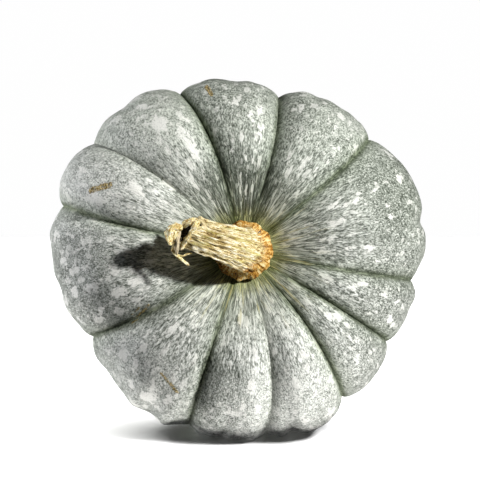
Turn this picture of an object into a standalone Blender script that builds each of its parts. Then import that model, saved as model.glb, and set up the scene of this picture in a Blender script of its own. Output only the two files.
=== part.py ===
"""A grey-green ribbed pumpkin that lies on its side, with its cut stem towards -Y and a little up.

Two pieces: the fruit, with its lobes, grooves, stem seat and blossom scar, and the corky stem, with its flared
foot, its torn hollow end and the fibres that hang from it. Metres, +Z up, floor at Z = 0.

Both pieces are shaped in the pumpkin's own frame: the stem's axis is +Z, +Y is the side that ends up on top, and
the origin is the middle of the widest ring. Each object is then turned by the same lean and lowered to the floor.
"""

import math

import bmesh
import bpy
import numpy as np
from mathutils import Matrix, Vector, noise

MM = 0.001

# How the pumpkin lies: the stem's axis points this far above level, and the lobes below are pressed flat.
LEAN_BACK = math.radians(9)
PRESSED = 3.6 * MM
PRESS_BLEND = 0.5 * MM

# The fruit's outline from the side, as a fuller oval: half heights above and below the widest ring.
STEM_HALF = 88 * MM
BLOSSOM_HALF = 74 * MM
FULLNESS = 2.5

# The basin round the stem, the flat seat in it, and the hollow round the blossom scar.
BASIN_DEPTH = 31.5 * MM
BASIN_SPREAD = 46.5 * MM
SEAT_RADIUS = 18.5 * MM
STEM_OFFSET = (3.0 * MM, 2.5 * MM)
BLOSSOM_DEPTH = 12 * MM
BLOSSOM_SPREAD = 26 * MM
SCAR_RADIUS = 6 * MM
SCAR_HEIGHT = 1.6 * MM
SCAR_EDGE = (0.6, 1.3)

# Grooves, anticlockwise as seen from the stem: angle at the rim, angle at the stem, depth at the rim, how gently
# its sides slope, and the crest radius of the lobe that follows it.
GROOVES = (
    (-7.0, -12.0, 4.8 * MM, 0.40, 118.0 * MM),
    (42.5, 37.0, 5.6 * MM, 0.35, 112.5 * MM),
    (76.0, 71.5, 9.2 * MM, 0.70, 111.0 * MM),
    (109.5, 103.5, 7.4 * MM, 0.45, 118.5 * MM),
    (141.5, 137.5, 6.4 * MM, 0.85, 120.0 * MM),
    (163.0, 169.5, 6.4 * MM, 0.45, 113.5 * MM),
    (208.0, 216.0, 10.2 * MM, 0.65, 108.0 * MM),
    (253.5, 252.5, 4.4 * MM, 0.45, 110.5 * MM),
    (279.0, 287.0, 4.6 * MM, 0.85, 114.5 * MM),
    (307.0, 312.0, 6.8 * MM, 0.45, 110.0 * MM),
    (331.0, 329.0, 6.4 * MM, 0.45, 109.5 * MM),
)
LOBES = len(GROOVES)
LOBE_STEPS = 12
RINGS = 30
SEAT_RINGS = 2
LOBE_ROUNDNESS = 2.2
GROOVE_BED = 0.05

# The depth of a groove against its depth at the rim, in the basin and on the shoulder where it is deepest, and
# the share of its depth that it loses at the blossom.
BASIN_SHARE = 0.25
SHOULDER_SHARE = 1.5
BLOSSOM_LOSS = 0.75

# Where things begin and end on the way from the stem (0 degrees) over the widest ring (90) to the blossom (180).
GROOVES_SWING = (0, 90)
GROOVES_DEEPEN = (8, 42)
GROOVES_EASE = (50, 88)
GROOVES_FADE = (125, 172)
LOBES_GROW = (8, 40)
LOBES_SHRINK = (140, 172)
SWELLS_GROW = (35, 80)
LUMPS_GROW = (18, 40)
SEAT_EDGE = 20

# Swells and, with a minus, creases along the lobes, strongest at the widest ring: angle, height and half width.
SWELLS = (
    (2.0, 1.4 * MM, 5.0),
    (11.5, -3.0 * MM, 2.8),
    (63.5, -1.2 * MM, 2.6),
    (91.0, -1.6 * MM, 3.2),
    (100.0, 1.2 * MM, 4.0),
    (127.0, -1.6 * MM, 3.0),
    (135.0, 1.0 * MM, 4.0),
    (172.0, 2.6 * MM, 5.0),
    (190.0, -3.2 * MM, 4.5),
    (200.0, -1.8 * MM, 4.0),
    (221.0, -2.4 * MM, 5.0),
    (234.0, 2.4 * MM, 3.5),
    (245.5, 2.8 * MM, 3.0),
    (265.0, -1.4 * MM, 2.4),
    (274.0, 1.2 * MM, 3.0),
    (287.5, -3.4 * MM, 2.4),
    (338.0, -0.8 * MM, 4.0),
    (348.0, 1.8 * MM, 3.0),
)
LUMP_HEIGHT = 1.1 * MM
LUMP_SIZE = 26 * MM

# The stem: the control points of its middle line, from the foot's underside, and its radius along that line.
STEM_GAP = 0.3 * MM
STEM_LINE = ((0, 0, 0), (2, -2, 26), (-14, 3.0, 37.5), (-36.5, 10, 35))
STEM_RADII = (
    (0.0, 15.6),
    (0.02, 17.2),
    (0.06, 17.3),
    (0.095, 15.8),
    (0.15, 13.6),
    (0.25, 12.3),
    (0.45, 10.9),
    (0.7, 9.6),
    (0.9, 9.2),
    (1.0, 9.5),
)
STEM_SIDES = 44
STEM_RINGS = 30
RING_CROWDING = 1.5
FRAMES_PER_RING = 4

# Waves round the stem as how many, how high as a share of the radius, and where they start: five ribs with
# flutes between them on the neck, knobs on the foot.
RIBS = (5, 0.055, 0.6)
FLUTES = (12, 0.022, -1.1)
KNOBS = (11, 0.03, 0.3)
FOOT_END = 0.09
KNOBS_END = 0.14
RIBS_FULL = 0.25
STRAIGHT_END = 0.3

# The torn end: the side that broke off short and by how much of the length, where along the stem the sides start
# to differ, and waves on its edge. Opposite it a tongue of the far wall reaches further: its side, length and half
# width. Inside are the hollow's wall at the edge, where its floor lies and how much narrower that is.
TORN_SIDE = math.radians(48)
TORN_SHARE = 0.15
TORN_FROM = 0.5
TORN_WAVES = ((5, 0.02, 1.0), (9, 0.015, 0.0))
TONGUE_SIDE = math.radians(168)
TONGUE_SHARE = 0.11
TONGUE_SPREAD = math.radians(58)
END_WALL = 0.76
END_HOLLOW_RINGS = 5
HOLLOW_FLOOR = 0.72
END_TAPER = 0.3

# Fibres that hang from the torn end, as points from the foot's middle and a thickness at each end.
FIBRES = (
    (((-38.0, 6.0, 26), (-38.9, 1.5, 25), (-39.4, -2.8, 25), (-36.2, -5.6, 26), (-31.2, -10.4, 27)), 1.7, 0.9),
    (((-37.2, -4.2, 25.5), (-34.7, -4.6, 26.5), (-29.0, -3.4, 28)), 0.8, 0.5),
)
FIBRE_SIDES = 8
WELD = 0.001 * MM

SKIN_COLOUR = (0.30, 0.33, 0.27, 1)
SKIN_ROUGHNESS = 0.5
STEM_COLOUR = (0.60, 0.46, 0.22, 1)
STEM_ROUGHNESS = 0.85


def smoothstep(low, high, x):
    """0 below low, 1 above high, and a smooth rise between them."""
    share = np.clip((x - low) / (high - low), 0, 1)
    return share * share * (3 - 2 * share)


def rise(window, down):
    """The same rise over a window given in degrees from the stem."""
    return smoothstep(*window, np.degrees(down))


def signed_power(x, power):
    return np.sign(x) * np.abs(x) ** power


def groove_column(column):
    return np.array([groove[column] for groove in GROOVES], float)


def lobe_and_side(turn):
    """The lobe that a share of a whole turn falls in, and where across it: -1 and 1 are its two grooves.

    The sine draws the columns of points together near the grooves, where the surface bends most.
    """
    place = (turn % 1.0) * LOBES
    lobe = np.floor(place).astype(int) % LOBES
    across = 2 * (place - np.floor(place)) - 1
    return lobe, 0.5 * (across + np.sin(across * math.pi / 2))


def angle_at(lobe, side, depth_share):
    """The angle about the axis, in radians. A groove swings from its angle at the stem to its angle at the rim."""
    rim, stem = groove_column(0), groove_column(1)
    lines = stem + (rim - stem) * depth_share[..., None]
    after = np.concatenate([lines[..., 1:], lines[..., :1] + 360], axis=-1)
    start = np.take_along_axis(lines, lobe[..., None], -1)[..., 0]
    end = np.take_along_axis(after, lobe[..., None], -1)[..., 0]
    return np.radians(start + (end - start) * (side + 1) / 2)


def crest_radius(angle):
    """The radius through the lobes' crests at the widest ring, eased from each lobe to the next."""
    rim = np.radians(groove_column(0))
    after = np.append(rim[1:], rim[0] + 2 * math.pi)
    middles = (rim + after) / 2
    radii = groove_column(4)
    at = np.concatenate([middles - 2 * math.pi, middles, middles + 2 * math.pi])
    values = np.tile(radii, 3)
    spot = np.searchsorted(at, angle, side="right") - 1
    share = (angle - at[spot]) / (at[spot + 1] - at[spot])
    return values[spot] + (values[spot + 1] - values[spot]) * (1 - np.cos(share * math.pi)) / 2


def side_profile(down, radius):
    """Radius, height and outward slope of the smooth fruit, where down runs from the stem (0) to the blossom (pi)."""
    wide = radius * np.abs(np.sin(down)) ** (2 / FULLNESS)
    half = np.where(np.cos(down) > 0, STEM_HALF, BLOSSOM_HALF)
    high = half * signed_power(np.cos(down), 2 / FULLNESS)
    out = (wide / radius) ** (FULLNESS - 1) / radius
    up = signed_power(high / half, FULLNESS - 1) / half
    length = np.hypot(out, up)
    basin = np.where(down < math.pi / 2, 1, 0) * BASIN_DEPTH * np.exp(-((wide / BASIN_SPREAD) ** 2))
    hollow = np.where(down > math.pi / 2, 1, 0) * BLOSSOM_DEPTH * np.exp(-((wide / BLOSSOM_SPREAD) ** 2))
    return wide, high - basin + hollow, out / length, up / length


def groove_depth(lobe, side, down):
    """How far the surface lies below the crests: most in a groove, nothing along the middle of a lobe."""
    near = np.where(side < 0, lobe, (lobe + 1) % LOBES)
    deepest = groove_column(2)[near]
    slope = groove_column(3)[near]
    wall = 1 - np.abs(side) ** LOBE_ROUNDNESS
    bulge = ((wall + GROOVE_BED) ** slope - GROOVE_BED**slope) / ((1 + GROOVE_BED) ** slope - GROOVE_BED**slope)
    along = BASIN_SHARE + (SHOULDER_SHARE - BASIN_SHARE) * rise(GROOVES_DEEPEN, down)
    along = along - (SHOULDER_SHARE - 1) * rise(GROOVES_EASE, down)
    fade = 1 - BLOSSOM_LOSS * rise(GROOVES_FADE, down)
    return deepest * along * fade * (1 - bulge)


def swell_height(angle, down):
    """How far the swells stand out at a place, less than nothing in a crease."""
    window = np.sin(down) ** 2 * rise(SWELLS_GROW, down)
    total = np.zeros_like(angle)
    for place, height, half_width in SWELLS:
        apart = (np.degrees(angle) - place + 180) % 360 - 180
        total += height * np.exp(-((apart / half_width) ** 2)) * window
    return total


def seat_height():
    """Height of the flat seat under the stem, level with the basin at the seat's edge."""
    down = np.array([seat_angle()])
    return float(side_profile(down, np.array([mean_radius()]))[1][0])


def mean_radius():
    return float(groove_column(4).mean())


def seat_angle():
    return math.asin((SEAT_RADIUS / mean_radius()) ** (FULLNESS / 2))


def fruit_points(turn, ring):
    """Points on the fruit for shares of a turn, and rings from 0 at the stem's pole to RINGS at the blossom's."""
    lobe, side = lobe_and_side(turn)
    start = seat_angle()
    down = start + (math.pi - start) * np.clip((ring - SEAT_RINGS) / (RINGS - SEAT_RINGS), 0, 1)
    angle = angle_at(lobe, side, rise(GROOVES_SWING, down))
    lobed = rise(LOBES_GROW, down) * (1 - rise(LOBES_SHRINK, down))
    radius = mean_radius() + (crest_radius(angle % (2 * math.pi)) - mean_radius()) * lobed
    wide, high, out, up = side_profile(down, radius)
    sunk = groove_depth(lobe, side, down) - swell_height(angle, down)
    sunk = sunk * smoothstep(math.degrees(start), SEAT_EDGE, np.degrees(down))
    wide = wide - out * sunk
    high = high - up * sunk
    # The scar is a low corky button in the middle of the blossom end.
    scar = np.where(down > math.pi / 2, SCAR_HEIGHT, 0) * (1 - smoothstep(*SCAR_EDGE, wide / SCAR_RADIUS))
    high = high - scar
    on_seat = ring <= SEAT_RINGS
    wide = np.where(on_seat, SEAT_RADIUS * ring / SEAT_RINGS, wide)
    high = np.where(on_seat, seat_height(), high)
    # The stem sits off the middle, so the rings slide across towards it.
    slide = 1 - rise(GROOVES_SWING, down)
    x = wide * np.cos(angle) + STEM_OFFSET[0] * slide
    y = wide * np.sin(angle) + STEM_OFFSET[1] * slide
    points = np.stack([x, y, high], axis=-1)
    lumps = np.array([noise.noise(Vector(p / LUMP_SIZE)) for p in points])
    lumps = lumps * LUMP_HEIGHT * rise(LUMPS_GROW, down)
    return points + np.stack([np.cos(angle) * out, np.sin(angle) * out, up], axis=-1) * lumps[:, None]


def material(name, colour, roughness):
    made = bpy.data.materials.new(name)
    made.use_nodes = True
    shader = made.node_tree.nodes["Principled BSDF"]
    shader.inputs["Base Color"].default_value = colour
    shader.inputs["Roughness"].default_value = roughness
    shader.inputs["Metallic"].default_value = 0
    made.diffuse_color = colour
    return made


def add_object(name, mesh, look, collection):
    mesh.materials.append(look)
    mesh.shade_smooth()
    piece = bpy.data.objects.new(name, mesh)
    collection.objects.link(piece)
    return piece


def make_fruit(look, collection):
    """A UV sphere whose every point is moved to the ribbed surface."""
    ball = bmesh.new()
    bmesh.ops.create_uvsphere(ball, u_segments=LOBES * LOBE_STEPS, v_segments=RINGS, radius=1)
    places = np.array([v.co for v in ball.verts], float)
    turn = np.arctan2(places[:, 1], places[:, 0]) / (2 * math.pi) % 1.0
    turn = np.round(turn * LOBES * LOBE_STEPS) / (LOBES * LOBE_STEPS)
    ring = np.round(np.arccos(np.clip(places[:, 2], -1, 1)) / math.pi * RINGS)
    for vertex, point in zip(ball.verts, fruit_points(turn, ring)):
        vertex.co = point
    mesh = bpy.data.meshes.new("fruit")
    ball.to_mesh(mesh)
    ball.free()
    return add_object("fruit", mesh, look, collection)


def stem_line(share):
    """Point on the stem's middle line, a cubic curve, in metres from the middle of the foot's underside."""
    a, b, c, d = (Vector(p) * MM for p in STEM_LINE)
    back = 1 - share
    return a * back**3 + b * 3 * share * back**2 + c * 3 * share**2 * back + d * share**3


def stem_frames(count):
    """Middle points along the stem, each with two directions across it that don't twist."""
    shares = [i / (count - 1) for i in range(count)]
    places = [stem_line(s) for s in shares]
    across = Vector((1, 0, 0))
    frames = []
    for i, place in enumerate(places):
        ahead = (places[min(i + 1, count - 1)] - places[max(i - 1, 0)]).normalized()
        # The foot lies flat on its seat, and the rings above it turn to follow the line.
        turned = float(smoothstep(FOOT_END, STRAIGHT_END, shares[i]))
        ahead = Vector((0, 0, 1)).lerp(ahead, turned).normalized()
        across = (across - ahead * across.dot(ahead)).normalized()
        frames.append((place, across.copy(), ahead.cross(across)))
    return frames


def wave(kind, angle):
    count, height, start = kind
    return height * math.cos(count * angle + start)


def stem_radius(share, angle):
    """Radius of the stem's skin, with ribs and flutes along the neck and knobs round the foot's edge."""
    shares, radii = zip(*STEM_RADII)
    base = float(np.interp(share, shares, radii)) * MM
    on_neck = float(smoothstep(FOOT_END, RIBS_FULL, share))
    on_foot = 1 - float(smoothstep(FOOT_END, KNOBS_END, share))
    return base * (1 + (wave(RIBS, angle) + wave(FLUTES, angle)) * on_neck + wave(KNOBS, angle) * on_foot)


def torn_length(angle):
    """How far along the stem each side reaches: short above and in front, with a tongue left on the far wall."""
    short = 0.5 + 0.5 * math.cos(angle - TORN_SIDE)
    ragged = sum(wave(kind, angle) for kind in TORN_WAVES)
    tongue = TONGUE_SHARE * math.exp(-(((angle - TONGUE_SIDE) / TONGUE_SPREAD) ** 4))
    return 1 - TORN_SHARE * short + ragged + tongue


def stem_ring(mesh, frame_at, share, shrink=1.0, deep=0.0):
    """One ring of the stem's skin at a share of each side's own length, or one that lies deep in the hollow."""
    ring = []
    for side in range(STEM_SIDES):
        angle = 2 * math.pi * side / STEM_SIDES
        own = share * (1 + (torn_length(angle) - 1) * float(smoothstep(TORN_FROM, 1, share)))
        own = own + (HOLLOW_FLOOR - own) * deep
        place, right, over = frame_at(own)
        reach = stem_radius(own, angle) * shrink
        ring.append(mesh.verts.new(place + (right * math.cos(angle) + over * math.sin(angle)) * reach))
    return ring


def bridge(mesh, lower, upper):
    for i in range(len(lower)):
        j = (i + 1) % len(lower)
        mesh.faces.new((lower[i], lower[j], upper[j], upper[i]))


def make_stem(look, collection):
    """A loft from the flared foot to the torn end, which turns back inside itself as a hollow."""
    frames = stem_frames(FRAMES_PER_RING * STEM_RINGS + 1)

    def frame_at(share):
        # Past the end of the line the tongue goes straight on.
        spot = share * (len(frames) - 1)
        low = min(int(spot), len(frames) - 2)
        between = spot - low
        return [here.lerp(there, between) for here, there in zip(frames[low], frames[low + 1])]

    loft = bmesh.new()
    # Rings crowd towards the foot, where the profile turns fastest.
    shares = [(i / STEM_RINGS) ** RING_CROWDING for i in range(STEM_RINGS + 1)]
    rings = [stem_ring(loft, frame_at, share) for share in shares]
    for i in range(END_HOLLOW_RINGS):
        deep = i / (END_HOLLOW_RINGS - 1)
        rings.append(stem_ring(loft, frame_at, 1, END_WALL - END_TAPER * deep, deep))
    for lower, upper in zip(rings, rings[1:]):
        bridge(loft, lower, upper)
    loft.faces.new(reversed(rings[0]))
    loft.faces.new(rings[-1])
    mesh = bpy.data.meshes.new("stem")
    loft.to_mesh(mesh)
    loft.free()
    return add_object("stem", mesh, look, collection)


def make_fibre(points, thick, thin):
    """A tapered strand as a closed tube."""
    curve = bpy.data.curves.new("fibre", "CURVE")
    curve.dimensions = "3D"
    curve.bevel_depth = 1
    curve.bevel_resolution = (FIBRE_SIDES - 4) // 2
    curve.use_fill_caps = True
    line = curve.splines.new("POLY")
    line.points.add(len(points) - 1)
    for i, (spot, place) in enumerate(zip(line.points, points)):
        spot.co = (*(Vector(place) * MM), 1)
        spot.radius = (thick + (thin - thick) * i / (len(points) - 1)) * MM
    strand = bpy.data.objects.new("fibre", curve)
    bpy.context.scene.collection.objects.link(strand)
    bpy.context.view_layer.update()
    mesh = bpy.data.meshes.new_from_object(strand.evaluated_get(bpy.context.evaluated_depsgraph_get()))
    bpy.data.objects.remove(strand)
    tube = bmesh.new()
    tube.from_mesh(mesh)
    bmesh.ops.remove_doubles(tube, verts=tube.verts, dist=WELD)
    bmesh.ops.recalc_face_normals(tube, faces=tube.faces)
    tube.to_mesh(mesh)
    tube.free()
    return mesh


def join_fibres(stem):
    """Unites the hanging strands with the stem they grow from."""
    strands = bpy.data.collections.new("strands")
    bpy.context.scene.collection.children.link(strands)
    for points, thick, thin in FIBRES:
        strands.objects.link(bpy.data.objects.new("strand", make_fibre(points, thick, thin)))
    union = stem.modifiers.new("fibres", "BOOLEAN")
    union.operation = "UNION"
    union.operand_type = "COLLECTION"
    union.collection = strands
    union.solver = "EXACT"
    bpy.context.view_layer.update()
    joined = bpy.data.meshes.new_from_object(stem.evaluated_get(bpy.context.evaluated_depsgraph_get()))
    stem.modifiers.clear()
    stem.data = joined
    for strand in list(strands.objects):
        bpy.data.objects.remove(strand)
    bpy.data.collections.remove(strands)


def lay_down(pieces):
    """Turns both pieces onto the side, lowers them onto the floor and centres them over the origin."""
    turned = Matrix.Rotation(math.pi / 2 - LEAN_BACK, 4, "X")
    corners = np.array([turned @ v.co for piece in pieces for v in piece.data.vertices])
    low, high = corners.min(0), corners.max(0)
    floor = -low[2] - PRESSED
    place = Matrix.Translation((-(low[0] + high[0]) / 2, -(low[1] + high[1]) / 2, floor)) @ turned
    for piece in pieces:
        piece.matrix_world = place
    return place


def press_flat(fruit, place):
    """Flattens the lobes where they bear on the floor, with a short rounded edge."""
    back = place.inverted()
    for vertex in fruit.data.vertices:
        at = place @ vertex.co
        if at.z < -PRESS_BLEND:
            at.z = 0
        elif at.z < PRESS_BLEND:
            at.z = (at.z + PRESS_BLEND) ** 2 / (4 * PRESS_BLEND)
        vertex.co = back @ at


def build():
    for old in list(bpy.data.objects):
        bpy.data.objects.remove(old)
    pumpkin = bpy.data.collections.new("pumpkin")
    bpy.context.scene.collection.children.link(pumpkin)
    fruit = make_fruit(material("rind", SKIN_COLOUR, SKIN_ROUGHNESS), pumpkin)
    stem = make_stem(material("corky_stem", STEM_COLOUR, STEM_ROUGHNESS), pumpkin)
    join_fibres(stem)
    seat = Matrix.Translation((*STEM_OFFSET, seat_height() + STEM_GAP))
    stem.data.transform(seat)
    place = lay_down([fruit, stem])
    press_flat(fruit, place)


build()
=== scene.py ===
"""Looks for the grey-green ribbed pumpkin: speckled skin, corky stem, floor, light and camera.

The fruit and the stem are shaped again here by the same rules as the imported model, with many more points,
so their fine relief is real geometry. Shapes are worked out in millimetres in the pumpkin's own frame, where
the stem's axis is +Z and the origin is the middle of the widest ring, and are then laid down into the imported
frame, in metres.
"""

import math

import bpy
import numpy as np
from mathutils import Matrix, Vector, noise


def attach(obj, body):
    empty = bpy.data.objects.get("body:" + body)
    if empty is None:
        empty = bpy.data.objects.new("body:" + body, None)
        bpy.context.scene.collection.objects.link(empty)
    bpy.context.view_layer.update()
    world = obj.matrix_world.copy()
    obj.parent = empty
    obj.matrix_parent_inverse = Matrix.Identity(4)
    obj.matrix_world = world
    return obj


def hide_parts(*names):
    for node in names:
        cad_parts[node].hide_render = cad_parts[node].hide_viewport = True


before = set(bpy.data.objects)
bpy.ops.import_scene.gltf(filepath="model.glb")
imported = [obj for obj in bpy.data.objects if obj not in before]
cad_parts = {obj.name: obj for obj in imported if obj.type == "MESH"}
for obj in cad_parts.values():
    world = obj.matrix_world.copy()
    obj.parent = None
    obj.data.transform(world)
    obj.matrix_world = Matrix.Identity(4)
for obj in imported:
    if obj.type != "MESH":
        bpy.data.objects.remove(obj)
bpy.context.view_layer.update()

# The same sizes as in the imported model, in millimetres and degrees.
LEAN_BACK = 9
ORIGIN = (0.373, 13.114, 107.068)
PRESS_BLEND = 0.5
STEM_HALF, BLOSSOM_HALF, FULLNESS = 88, 74, 2.5
BASIN_DEPTH, BASIN_SPREAD = 31.5, 46.5
BLOSSOM_DEPTH, BLOSSOM_SPREAD = 12, 26
SEAT_RADIUS = 18.5
STEM_OFFSET, STEM_GAP = (3.0, 2.5), 0.3
SCAR_RADIUS, SCAR_HEIGHT, SCAR_EDGE = 6, 1.6, (0.6, 1.3)
# Each groove: its direction at the rim and at the stem, its depth, its slope, and the next crest's radius.
GROOVES = np.array((
    (-7.0, -12.0, 4.8, 0.40, 118.0),
    (42.5, 37.0, 5.6, 0.35, 112.5),
    (76.0, 71.5, 9.2, 0.70, 111.0),
    (109.5, 103.5, 7.4, 0.45, 118.5),
    (141.5, 137.5, 6.4, 0.85, 120.0),
    (163.0, 169.5, 6.4, 0.45, 113.5),
    (208.0, 216.0, 10.2, 0.65, 108.0),
    (253.5, 252.5, 4.4, 0.45, 110.5),
    (279.0, 287.0, 4.6, 0.85, 114.5),
    (307.0, 312.0, 6.8, 0.45, 110.0),
    (331.0, 329.0, 6.4, 0.45, 109.5),
))
RIM_ANGLE, STEM_ANGLE, GROOVE_DEPTH, GROOVE_SLOPE, CREST_RADIUS = GROOVES.T
LOBES = len(GROOVES)
MEAN_RADIUS = CREST_RADIUS.mean()
LOBE_ROUNDNESS, GROOVE_BED = 2.2, 0.05
BASIN_SHARE, SHOULDER_SHARE, BLOSSOM_LOSS = 0.25, 1.5, 0.75
SEAT_EDGE = 20
# The latitudes, counted from the stem, between which each of these changes.
GROOVES_SWING, GROOVES_DEEPEN, GROOVES_EASE, GROOVES_FADE = (0, 90), (8, 42), (50, 88), (125, 172)
LOBES_GROW, LOBES_SHRINK, SWELLS_GROW, LUMPS_GROW = (8, 40), (140, 172), (35, 80), (18, 40)
# Each swell on a crest: its direction, height and half width.
SWELLS = (
    (2.0, 1.4, 5.0), (11.5, -3.0, 2.8), (63.5, -1.2, 2.6), (91.0, -1.6, 3.2), (100.0, 1.2, 4.0),
    (127.0, -1.6, 3.0), (135.0, 1.0, 4.0), (172.0, 2.6, 5.0), (190.0, -3.2, 4.5), (200.0, -1.8, 4.0),
    (221.0, -2.4, 5.0), (234.0, 2.4, 3.5), (245.5, 2.8, 3.0), (265.0, -1.4, 2.4), (274.0, 1.2, 3.0),
    (287.5, -3.4, 2.4), (338.0, -0.8, 4.0), (348.0, 1.8, 3.0),
)
LUMP_HEIGHT, LUMP_SIZE = 1.1, 26
STEM_LINE = ((0, 0, 0), (2, -2, 26), (-14, 3.0, 37.5), (-36.5, 10, 35))
STEM_RADII = (
    (0.0, 15.6), (0.02, 17.2), (0.06, 17.3), (0.095, 15.8), (0.15, 13.6),
    (0.25, 12.3), (0.45, 10.9), (0.7, 9.6), (0.9, 9.2), (1.0, 9.5),
)
RIBS, FLUTES, KNOBS = (5, 0.055, 0.6), (12, 0.022, -1.1), (11, 0.03, 0.3)
FOOT_END, KNOBS_END, RIBS_FULL, STRAIGHT_END = 0.09, 0.14, 0.25, 0.3
TORN_SIDE, TORN_SHARE, TORN_FROM = math.radians(48), 0.15, 0.5
TORN_WAVES = ((5, 0.02, 1.0), (9, 0.015, 0.0))
TONGUE_SIDE, TONGUE_SHARE, TONGUE_SPREAD = math.radians(168), 0.11, math.radians(58)
HOLLOW_FLOOR = 0.72

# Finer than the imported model.
LOBE_STEPS, RINGS, SEAT_RINGS = 50, 165, 3
STEM_SIDES, STEM_RINGS, HOLLOW_STEPS, RING_CROWDING = 260, 150, 26, 1.15
STEM_LENGTH = 60
FOOT_SINK, FOOT_SINK_END = 0.9, 0.02
STRAND_STEPS, STRAND_SIDES = 60, 20

# Ripples along the lobes: how closely they lie round the fruit, their length, grain, seed and height.
RIPPLES = ((14, 16, 1.0, 1, 0.28), (9, 30, 0.5, 2, 0.16))
# Shallow dimples: their size, seed and height.
DIMPLES = ((7.0, 3, 0.30), (3.4, 4, 0.12))
# All this comes in between two distances from the axis, both smaller by so much on the blossom's side.
RELIEF_GROWS, NEARER_BEHIND = (18, 26), 4
# Splinters of the stem's torn edge: how closely they lie, their seed and length.
SPLINTERS, TONGUE_KEPT = ((5, 7, 0.022), (17, 8, 0.016)), 0.8
# The lip of the torn edge, the shares of the radius that its wall takes and that the hollow then loses on the
# way down, and how ragged the hollow's side is.
LIP_HEIGHT, LIP_REACH, WALL_SHARE, HOLLOW_TAPER, RAGGED_HEIGHT = 0.7, 2.2, 0.16, 0.42, 1.5


def smoothstep(low, high, x):
    share = np.clip((x - low) / (high - low), 0, 1)
    return share * share * (3 - 2 * share)


def noise_at(points, size, seed=0):
    """Smooth noise from about -1 to 1, with features about one size wide."""
    shift = Vector((seed * 17.3, seed * 5.1, seed * 11.7))
    return np.array([noise.noise(Vector(p) + shift) for p in np.asarray(points) / size])


def side_by_side(*values):
    """One to three values for each point, as one vector that a material can read."""
    spare = [np.zeros_like(values[0])] * (3 - len(values))
    return np.column_stack([*values, *spare])


def side_profile(down, radius):
    """Radius, height and outward slope of the smooth fruit."""
    wide = radius * np.abs(np.sin(down)) ** (2 / FULLNESS)
    half = np.where(np.cos(down) > 0, STEM_HALF, BLOSSOM_HALF)
    share = np.sign(np.cos(down)) * np.abs(np.cos(down)) ** (2 / FULLNESS)
    out = (wide / radius) ** (FULLNESS - 1) / radius
    up = np.sign(share) * np.abs(share) ** (FULLNESS - 1) / half
    length = np.hypot(out, up)
    basin = np.where(down < math.pi / 2, 1, 0) * BASIN_DEPTH * np.exp(-((wide / BASIN_SPREAD) ** 2))
    hollow = np.where(down > math.pi / 2, 1, 0) * BLOSSOM_DEPTH * np.exp(-((wide / BLOSSOM_SPREAD) ** 2))
    return wide, half * share - basin + hollow, out / length, up / length


SEAT_ANGLE = math.asin((SEAT_RADIUS / MEAN_RADIUS) ** (FULLNESS / 2))
SEAT_HEIGHT = float(side_profile(np.array([SEAT_ANGLE]), MEAN_RADIUS)[1][0])


def crest_radius(angle):
    """The lobes' radius at a direction, from crest to crest."""
    after = np.append(RIM_ANGLE[1:], RIM_ANGLE[0] + 360)
    middles = np.radians((RIM_ANGLE + after) / 2)
    at = np.concatenate([middles - 2 * math.pi, middles, middles + 2 * math.pi])
    values = np.tile(CREST_RADIUS, 3)
    spot = np.searchsorted(at, angle, side="right") - 1
    share = (angle - at[spot]) / (at[spot + 1] - at[spot])
    return values[spot] + (values[spot + 1] - values[spot]) * (1 - np.cos(share * math.pi)) / 2


def sunk_depth(side, near, angle, down):
    """How far the grooves, and the dents and swells of the crests, take the skin below the smooth fruit."""
    latitude = np.degrees(down)
    slope = GROOVE_SLOPE[near]
    wall = 1 - np.abs(side) ** LOBE_ROUNDNESS
    bed = GROOVE_BED**slope
    bulge = ((wall + GROOVE_BED) ** slope - bed) / ((1 + GROOVE_BED) ** slope - bed)
    along = BASIN_SHARE + (SHOULDER_SHARE - BASIN_SHARE) * smoothstep(*GROOVES_DEEPEN, latitude)
    along = along - (SHOULDER_SHARE - 1) * smoothstep(*GROOVES_EASE, latitude)
    fade = 1 - BLOSSOM_LOSS * smoothstep(*GROOVES_FADE, latitude)
    sunk = GROOVE_DEPTH[near] * along * fade * (1 - bulge)
    window = np.sin(down) ** 2 * smoothstep(*SWELLS_GROW, latitude)
    for middle, height, half_width in SWELLS:
        apart = (np.degrees(angle) - middle + 180) % 360 - 180
        sunk = sunk - height * np.exp(-((apart / half_width) ** 2)) * window
    return sunk * smoothstep(math.degrees(SEAT_ANGLE), SEAT_EDGE, latitude)


def skin_relief(points, round_axis, arc):
    """Height of the ripples and dimples."""
    ripples = sum(
        noise_at(np.column_stack([round_axis * closeness, arc / length]), size, seed) * height
        for closeness, length, size, seed, height in RIPPLES
    )
    dimples = sum(noise_at(points, size, seed) * height for size, seed, height in DIMPLES)
    return ripples + dimples


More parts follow.
